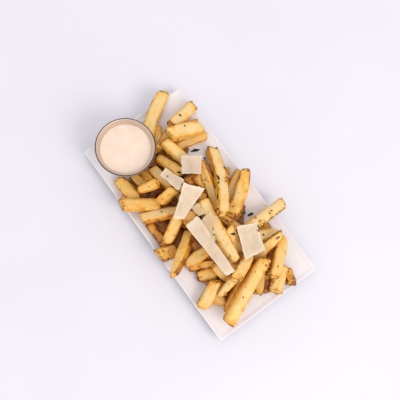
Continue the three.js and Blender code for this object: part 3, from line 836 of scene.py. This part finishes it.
def joined_mesh(name, solids):
    """One object from many solids, each given as points, faces and marks."""
    points, faces, marks = [], [], []
    for solid_points, solid_faces, solid_marks in solids:
        start = len(points)
        points.extend(solid_points)
        faces.extend(tuple(i + start for i in face) for face in solid_faces)
        marks.extend(solid_marks)
    mesh = bpy.data.meshes.new(name)
    mesh.from_pydata(points, [], faces)
    attribute = mesh.attributes.new("marks", "FLOAT_COLOR", "POINT")
    attribute.data.foreach_set("color", np.array(marks, np.float32).ravel())
    mesh.polygons.foreach_set("use_smooth", [True] * len(mesh.polygons))
    made = bpy.data.objects.new(name, mesh)
    bpy.context.scene.collection.objects.link(made)
    return made


fry_solids = []
for number, ends in enumerate(BOTTOM_FRIES):
    bottom_fry = LaidFry(ends[:2], ends[2:], BOTTOM_WIDTH, BOTTOM_THICKNESS, 0)
    fry_solids.append(fry_solid(bottom_fry, 0, BOTTOM_BROWN_AS_SHADE, 0, 0, False, 100 + number))
for number, row in enumerate(buried_fries() + FRIES):
    *plan, fry_roll, browning, first_end, last_end = row
    dark_tip = tuple(row[:2]) in DARK_TIPS
    fry_solids.append(fry_solid(rest_fry(*plan), fry_roll, browning, first_end, last_end, dark_tip, number))
fries = joined_mesh("fries_loose", fry_solids)

POTATO_PALE = (0.85, 0.61, 0.275)
POTATO_GOLD = (0.87, 0.515, 0.113)
POTATO_AMBER = (0.79, 0.35, 0.031)
POTATO_BROWN = (0.25, 0.06, 0.004)
SKIN_BROWN = (0.15, 0.07, 0.016)


def swing(tree, value, reach):
    """A value from 0 to 1 turned into one from minus reach to plus reach."""
    return reckoned(tree, "MULTIPLY_ADD", value, 2 * reach, -reach)


potato, tree, shader = plain_material("fried_potato", POTATO_GOLD, 0.42)
fry_marks = stored_marks(tree, "marks")
amount = fry_marks["Red"]
for pattern, reach in (
    (fry_marks["Green"], 0.1),
    (clouds(tree, 130, 3), 0.26),
    (clouds(tree, 480, 4, 0.65), 0.24),
    (clouds(tree, 1500, 2), 0.12),
):
    amount = reckoned(tree, "ADD", amount, swing(tree, pattern, reach))
crust_stops = [(0.04, POTATO_PALE), (0.32, POTATO_GOLD), (0.64, POTATO_AMBER), (1, POTATO_BROWN)]
with_skin = blend(tree, fry_marks["Blue"], ramp(tree, amount, crust_stops), SKIN_BROWN)
tree.links.new(with_skin, shader.inputs["Base Color"])
oily = rescaled(tree, clouds(tree, 420, 3), 0.26, 0.58, 0.35, 0.65)
tree.links.new(oily, shader.inputs["Roughness"])
give_relief(tree, shader, clouds(tree, 620, 4, 0.62), 0.55, 0.0007)
let_light_in(shader, 0.12, (1, 0.5, 0.18), 0.0025)
settle_in(fries, potato, "fries_loose", "fries")

# Core: the bottom of the heap, where broken fries lie too close to be told apart. It hardly shows, and it
# is marked fully brown as painted shade deep in the heap.
CORE_SHARE = 0.9
CORE_SPOKES = 120
CORE_RINGS = 26
CORE_CRAG = 1.3
CORE_DROP = 0.6
CORE_LEAST = 0.2

core_points = []
for ring in range(CORE_RINGS + 1):
    share = CORE_SHARE * ring / CORE_RINGS
    for spoke in range(CORE_SPOKES):
        angle = spoke / CORE_SPOKES * 2 * math.pi
        x = CORE_AT[0] + CORE_HALF[0] * share * math.cos(angle)
        y = CORE_AT[1] + CORE_HALF[1] * share * math.sin(angle)
        crag = CORE_CRAG * wobble((x, y, 0), 0.22, 3)
        above_well = max(core_height(x, y) + crag - CORE_DROP, CORE_LEAST)
        core_points.append(Vector((x, y, WELL_Z + PLATE_GAP + above_well)) * MM)
rim_start = len(core_points) - CORE_SPOKES
core_points += [Vector((point.x, point.y, (WELL_Z + PLATE_GAP) * MM)) for point in core_points[rim_start:]]
core_faces = []
for ring in range(CORE_RINGS + 1):
    for spoke in range(CORE_SPOKES):
        low, low_next = ring * CORE_SPOKES + spoke, ring * CORE_SPOKES + (spoke + 1) % CORE_SPOKES
        core_faces.append((low, low + CORE_SPOKES, low_next + CORE_SPOKES, low_next))
core_faces.append(tuple(range(rim_start + CORE_SPOKES, rim_start + 2 * CORE_SPOKES))[::-1])
# The core's full browning is painted shade.
core = joined_mesh("fries_core", [(core_points, core_faces, [(1, 0.5, 0, 1)] * len(core_points))])
open_mesh(core)
close_mesh()
settle_in(core, potato, "fries_core", "fries")

# Cheese shavings: thin slips of hard pale cheese off a peeler, laid over the fries. They are wavy, with
# ends that curl up, fine lines from the blade, and edges that broke a little.
SHAVING_GAP = 0.35
SHAVING_THICKNESS = 1.1
SHAVING_WAVE = 0.4
SHAVING_COLUMNS = 64
SHAVING_ROWS = 32
MAX_SHEET_SLOPE = 0.26

# One row for each shaving, from the lowest to the highest, in mm on the plan: its four corners, turning
# left, and how far its ends curl up.
SHAVINGS = [
    (-6, -8, 7, -8, 9, 1, -6, 3, 0.5),
    (8, 9, 11, -9, 40, -7, 19, 7, 0.5),
    (-53, -15, -27, -9, -33, 4, -57, -5, 1.5),
    (-59, 17, -41, 5, -28, 23, -45, 37, 1.5),
    (-33, 2, -7, -31, 1, -22, -13, 17, 2),
    (7, -25, 76, -22, 78, -11, 5, -7, 2.5),
    (39, 19, 75, 4, 79, 29, 49, 40, 2),
]

# How much the fries below show through the two thinnest shavings, by the shaving's number.
SEE_THROUGH = {1: 0.85, 2: 0.7}

sheet_slopes = np.arange(-MAX_SHEET_SLOPE, MAX_SHEET_SLOPE + SLOPE_STEP / 2, SLOPE_STEP)
sheet_tilts = np.array([(x, y) for x in sheet_slopes for y in sheet_slopes])


def between(corners, u, v):
    """The point of a four-cornered piece at shares u and v of its sides."""
    a, b, c, d = corners
    u, v = np.asarray(u)[..., None], np.asarray(v)[..., None]
    return (a + (b - a) * u) * (1 - v) + (d + (c - d) * u) * v


def rest_sheet(corners):
    """Lays a thin piece where the plan has it, and then where the eye sees it there."""
    placed = corners
    for _ in range(2):
        a, b, c, d = placed
        across = math.ceil(max(np.linalg.norm(b - a), np.linalg.norm(c - d)))
        down = math.ceil(max(np.linalg.norm(d - a), np.linalg.norm(c - b)))
        u, v = np.meshgrid(np.arange(across + 1) / across, np.arange(down + 1) / down)
        points = between(placed, u.ravel(), v.ravel())
        underside = lay(points, 0, between(placed, 0.5, 0.5), sheet_tilts)
        laid = (placed, points, underside)
        placed = [along_sight(corner, underside(corner)) for corner in corners]
    return laid


def sheet_faces(columns, rows):
    """The faces of a thin solid: a grid below, a grid above, and the wall round them."""
    width = columns + 1
    upper = width * (rows + 1)
    faces = []
    for row in range(rows):
        for column in range(columns):
            a = row * width + column
            faces.append((a, a + width, a + width + 1, a + 1))
            faces.append((upper + a, upper + a + 1, upper + a + width + 1, upper + a + width))
    round_edge = list(range(width))
    round_edge += [row * width + columns for row in range(1, rows + 1)]
    round_edge += [rows * width + column for column in range(columns - 1, -1, -1)]
    round_edge += [row * width for row in range(rows - 1, 0, -1)]
    for a, b in zip(round_edge, round_edge[1:] + round_edge[:1]):
        faces.append((a, b, upper + b, upper + a))
    return faces


def shaving_piece(number, row):
    """One shaving. Its marks are red for its rim and green for what shows through it."""
    *flat, curl = row
    corners, points, underside = rest_sheet([np.array(flat[i:i + 2], float) for i in range(0, 8, 2)])
    top = underside(points) + SHAVING_GAP + SHAVING_THICKNESS + 2 * SHAVING_WAVE + curl
    raise_map(points[:, 0], points[:, 1], top)
    middle = between(corners, 0.5, 0.5)
    lower, upper, marks = [], [], []
    for v in np.linspace(0, 1, SHAVING_ROWS + 1):
        for u in np.linspace(0, 1, SHAVING_COLUMNS + 1):
            x, y = between(corners, u, v)
            ragged = 0.9 * wobble((x, y, number * 9), 0.35, 5) + 0.45 * wobble((x, y, number * 9), 1.5, 6)
            rim = max(abs(2 * u - 1), abs(2 * v - 1)) ** 6
            inwards = middle - (x, y)
            x, y = np.array([x, y]) + inwards / max(np.linalg.norm(inwards), 1e-6) * rim * (0.8 + ragged)
            ends = (2 * u - 1) ** 2 * curl + (2 * v - 1) ** 2 * curl / 4
            wave = SHAVING_WAVE * (1 + math.sin(x * 0.31 + y * 0.17) * math.cos(y * 0.27))
            blade = 0.05 * math.sin(v * 60 + 3 * wobble((x, y, 0), 0.2, number))
            middle_z = underside((x, y)) + SHAVING_GAP + wave + ends + SHAVING_THICKNESS / 2
            thin = SHAVING_THICKNESS * (1 - 0.6 * rim) / 2
            lower.append(Vector((x, y, middle_z - thin)) * MM)
            upper.append(Vector((x, y, middle_z + thin + blade * (1 - rim))) * MM)
            marks.append((rim, SEE_THROUGH.get(number, 0), 0, 1))
    faces = sheet_faces(SHAVING_COLUMNS, SHAVING_ROWS)
    return joined_mesh(f"shaving_{number}", [(lower + upper, faces, marks * 2)])


CHEESE_CREAM = (0.66, 0.50, 0.34)
CHEESE_PALE = (0.76, 0.60, 0.44)
CHEESE_EDGE = (0.87, 0.73, 0.55)
CHEESE_OVER_FRIES = (0.70, 0.46, 0.22)

cheese, tree, shader = plain_material("hard_cheese", CHEESE_CREAM, 0.5)
cheese_marks = stored_marks(tree, "marks")
cheese_tone = ramp(tree, clouds(tree, 110, 3), [(0.3, CHEESE_CREAM), (0.7, CHEESE_PALE)])
seen_through = blend(tree, cheese_marks["Green"], cheese_tone, CHEESE_OVER_FRIES)
tree.links.new(blend(tree, cheese_marks["Red"], seen_through, CHEESE_EDGE), shader.inputs["Base Color"])
give_relief(tree, shader, clouds(tree, 1100, 3), 0.25, 0.0003)
let_light_in(shader, 0.3, (1, 0.7, 0.5), 0.0025)
shavings = []
for number, row in enumerate(SHAVINGS, 1):
    shaving = shaving_piece(number, row)
    settle_in(shaving, cheese, f"cheese_slip_{number}", f"cheese_shaving_{number}")
    shavings.append(shaving)

# Herb flecks: dried green leaf, chopped and strewn over the heap, with a few on the plate. Each is a thin
# curled leaf that lies on what is under it.
FLECK_THICKNESS = 0.35
FLECK_COLUMNS = 8
FLECK_ROWS = 3

# One row for each fleck, in mm on the plan: x, y, heading in degrees, length, width, and how green it is.
FLECKS = [
    (-54.5, 34, 68, 11, 3.6, 0),
    (-41, 37, 10, 3, 2.4, 0),
    (-15, 35.5, -14, 8, 2.4, 0.1),
    (-10.5, 33, -50, 3.5, 2.2, 0),
    (-8, 27, 0, 3, 1.6, 0.3),
    (2, 23, -25, 8, 2, 0.1),
    (13, 15, 0, 3.5, 2.6, 0.2),
    (-21, 34, -15, 8, 1.6, 0.1),
    (-20, 48, 0, 2.4, 1.8, 0),
    (-43, 55, 0, 3.4, 1.8, 0.5),
    (38.5, 40, 78, 8, 3, 0),
    (32, 35, 30, 6, 4.5, 1),
    (31, 27, 70, 5, 1.8, 0.8),
    (29, 33, -40, 4, 1.6, 0.9),
    (44, 12, 55, 6, 3, 0.4),
    (76, 49, 88, 6, 2, 0.7),
    (64, 38, 20, 2.6, 2.2, 0),
    (53, 39, -30, 4, 1.5, 0.6),
    (57, 36, 15, 3.4, 1.4, 0.3),
    (48, 61, 60, 3.4, 1.4, 0.4),
    (49, 58, 10, 3.6, 1.4, 0.3),
    (-44, 5, 40, 6, 2.6, 0.2),
    (-40, 8, 55, 3.4, 2, 0),
    (-55, 10.5, 12, 5, 1.4, 0.3),
    (-66, 8, 25, 5, 1.4, 0.1),
    (-97, 44, 25, 4, 2.2, 0.4),
    (-84, 41, -30, 3, 1.4, 0.2),
    (6.5, -7, 0, 4, 1.5, 0.2),
    (33, -5, 30, 3, 1.4, 0.3),
    (27, -2, -20, 3, 1.2, 0.3),
    (9, -1, 0, 3, 1.2, 0.2),
    (25, -60, 0, 2.4, 1.8, 0),
    (-19, -55, 60, 3, 2.4, 0),
    (113, -3, 70, 3.4, 1.6, 0.1),
    (107, -5, 0, 2.6, 1.6, 0.4),
    (98, 17, -20, 3, 1.5, 0.3),
    (-92, 33, 40, 2.4, 1.2, 0.6),
    (-35, 14, -40, 2.6, 1.2, 0.5),
    (20, 30, 80, 2.6, 1.2, 0.5),
    (62, -8, -10, 3, 1.3, 0.3),
    (84, 22, 60, 2.6, 1.2, 0.5),
    (100, 30, -60, 2.4, 1.2, 0.6),
    (104, -20, -65, 2.6, 1.2, 0.5),
    (-48, -8, 10, 2.4, 1.2, 0.4),
    (-20, -36, 60, 2.4, 1.2, 0.4),
    (8, -40, -60, 2.2, 1.1, 0.6),
]


def surface_tree(objects):
    """All the faces that something may lie on, to be found by a ray."""
    points, faces = [], []
    for obj in objects:
        start = len(points)
        points.extend(vertex.co.copy() for vertex in obj.data.vertices)
        faces.extend(tuple(start + i for i in polygon.vertices) for polygon in obj.data.polygons)
    return BVHTree.FromPolygons(points, faces)


lying_on = surface_tree([plate, fries, core, *shavings])
eye_point = Vector(EYE) * MM


def seen_at(x, y):
    """What lies at a place of the plan: the point on it and the way it faces."""
    way = (Vector((x, y, PLAN_Z)) * MM - eye_point).normalized()
    point, normal, _, _ = lying_on.ray_cast(eye_point, way)
    return point, normal if normal.z > 0 else -normal


def fleck_solid(x, y, heading, length, width, green):
    """A pointed leaf, curled along its length, that lies on what is seen at its place."""
    point, normal = seen_at(x, y)
    normal = (normal + Vector((0, 0, 0.6))).normalized()
    angle = math.radians(heading)
    along = Vector((math.cos(angle), math.sin(angle), 0))
    along = (along - normal * along.dot(normal)).normalized()
    left = normal.cross(along)
    hump = draw.uniform(0.04, 0.12)
    bow = draw.uniform(-0.1, 0.1) * length
    lower, upper, marks = [], [], []
    for v in np.linspace(-1, 1, FLECK_ROWS + 1):
        for u in np.linspace(-1, 1, FLECK_COLUMNS + 1):
            leaf = max(0.15, 1 - abs(u) ** 2.2) * (0.8 + 0.6 * wobble((u * 3, v * 0.4, x), 1, 2))
            across = v * width / 2 * leaf + bow * (1 - u * u)
            curl = hump * length * (1 - u * u) + 0.3 * v * v * width / 2 * (1 - abs(u))
            place = point / MM + along * u * length / 2 + left * across + normal * (0.05 + curl)
            lower.append(place * MM)
            upper.append((place + normal * FLECK_THICKNESS) * MM)
            marks.append((green, 0.5, 0, 1))
    return lower + upper, sheet_faces(FLECK_COLUMNS, FLECK_ROWS), marks * 2


HERB_DARK = (0.028, 0.020, 0.006)
HERB_GREEN = (0.10, 0.125, 0.03)

herb, tree, shader = plain_material("dried_herb", HERB_DARK, 0.85)
shader.inputs["Specular IOR Level"].default_value = 0.15
uneven = swing(tree, clouds(tree, 700, 3), 0.5)
greenness = reckoned(tree, "ADD", stored_marks(tree, "marks")["Red"], uneven)
herb_tone = ramp(tree, greenness, [(0.1, HERB_DARK), (0.9, HERB_GREEN)])
tree.links.new(herb_tone, shader.inputs["Base Color"])
give_relief(tree, shader, clouds(tree, 2200, 2), 0.4, 0.0002)
herbs = joined_mesh("herb_flecks", [fleck_solid(*row) for row in FLECKS])
settle_in(herbs, herb, "herb_flecks", "fries")

# Crusts and crumbs: rough brown crust stuck to some fries, small fried crumbs, and fine grated cheese over
# the heap. They are small uneven lumps, each part sunk into what it lies on.
CRUST_LUMPS = 7
CRUST_SPREAD = 2.2
CRUST_SIZES = (1.4, 3.4)
CRUST_SINK = 0.15
FRIED_CRUMBS = 150
FRIED_SIZES = (0.6, 1.7)
CHEESE_CRUMBS = 130
CHEESE_SIZES = (0.6, 1.5)
CRUMB_SINK = 0.2
CUP_CLEARANCE = 0.003
HEAP_MIDDLE = (8, -2)
HEAP_HALF = (112, 56)

# One row for each patch of crust, in mm on the plan: x, y and how far it spreads.
CRUSTS = [
    (-16, 48, 5),
    (-9, 43, 4),
    (-79, 21, 3.5),
    (-74, 24, 3),
    (-60, -28, 3),
    (-54, -62, 5),
    (-20, 22, 3.5),
    (26, 16, 5),
    (34, 18, 4.5),
    (31, 30, 3),
    (54, 43, 4),
    (45, -6, 3),
    (60, -7, 3.5),
    (88, 27, 3),
    (93, 22, 3.5),
    (98, 18, 3.5),
    (102, 13, 4),
    (90, -33, 3),
    (112, 11, 5),
    (119, 14, 4),
    (107, 16, 4),
    (112, 3, 4),
    (113, 33, 3.5),
    (121, 30, 4),
    (16, -60, 5),
    (20, -56, 4),
    (8, -53, 3.5),
    (43, 42, 3),
    (62, -44, 3),
    (70, -42, 3),
]


def ball(divisions):
    """The points and faces of a small ball, to be made uneven."""
    mesh = bmesh.new()
    bmesh.ops.create_icosphere(mesh, subdivisions=divisions, radius=1)
    points = [vertex.co.copy() for vertex in mesh.verts]
    faces = [tuple(vertex.index for vertex in face.verts) for face in mesh.faces]
    mesh.free()
    return points, faces


BALL_POINTS, BALL_FACES = ball(2)


def lump_solid(point, normal, size, sink, mark):
    """An uneven lump in mm, flattened along the way it faces, and sunk by a share of its size."""
    turned_by = normal.to_track_quat("Z", "Y")
    stretch = Vector(draw.uniform(0.6, 1.1, 3)) * size / 2
    seed = draw.uniform(0, 90)
    points = []
    for corner in BALL_POINTS:
        rough = 1 + 0.7 * noise.noise(corner * 1.7 + Vector((seed, 0, 0)))
        local = Vector((corner.x * stretch.x, corner.y * stretch.y, corner.z * stretch.z * 0.7)) * rough
        points.append(point + (turned_by @ local + normal * size * (0.3 - sink)) * MM)
    return points, BALL_FACES, [mark] * len(points)


crust_solids = []
for x, y, reach in CRUSTS:
    for _ in range(CRUST_LUMPS):
        dx, dy = draw.normal(0, reach / CRUST_SPREAD, 2)
        point, normal = seen_at(x + dx, y + dy)
        shade = draw.uniform(0.35, 0.95)
        size = draw.uniform(*CRUST_SIZES)
        crust_solids.append(lump_solid(point, normal, size, CRUST_SINK, (shade, draw.uniform(), 0, 1)))

slips = surface_tree(shavings)


def strewn(count, sizes, mark_of):
    """Crumbs at random over the heap, none on the cup or on a shaving, and few on the plate."""
    solids = []
    while len(solids) < count:
        reach, angle = math.sqrt(draw.uniform()), draw.uniform(0, 2 * math.pi)
        x = HEAP_MIDDLE[0] + HEAP_HALF[0] * reach * math.cos(angle)
        y = HEAP_MIDDLE[1] + HEAP_HALF[1] * reach * math.sin(angle)
        point, normal = seen_at(x, y)
        by_cup = (point.xy - CUP_AT.xy).length < CUP_RIM_RADIUS + CUP_CLEARANCE
        on_slip = slips.find_nearest(point, MM)[0] is not None
        if by_cup or on_slip or point.z < (WELL_Z + 3) * MM and draw.uniform() < 0.8:
            continue
        solids.append(lump_solid(point, normal, draw.uniform(*sizes), CRUMB_SINK, mark_of()))
    return solids


crust_solids += strewn(FRIED_CRUMBS, FRIED_SIZES, lambda: (draw.uniform(0.3, 0.95), draw.uniform(), 0, 1))
crusts = joined_mesh("fried_crusts", crust_solids)
settle_in(crusts, potato, "fried_crusts", "fries")
grated_solids = strewn(CHEESE_CRUMBS, CHEESE_SIZES, lambda: (draw.uniform(0.4, 1), 0, 0, 1))
grated = joined_mesh("grated_cheese", grated_solids)
settle_in(grated, cheese, "grated_cheese", "fries")
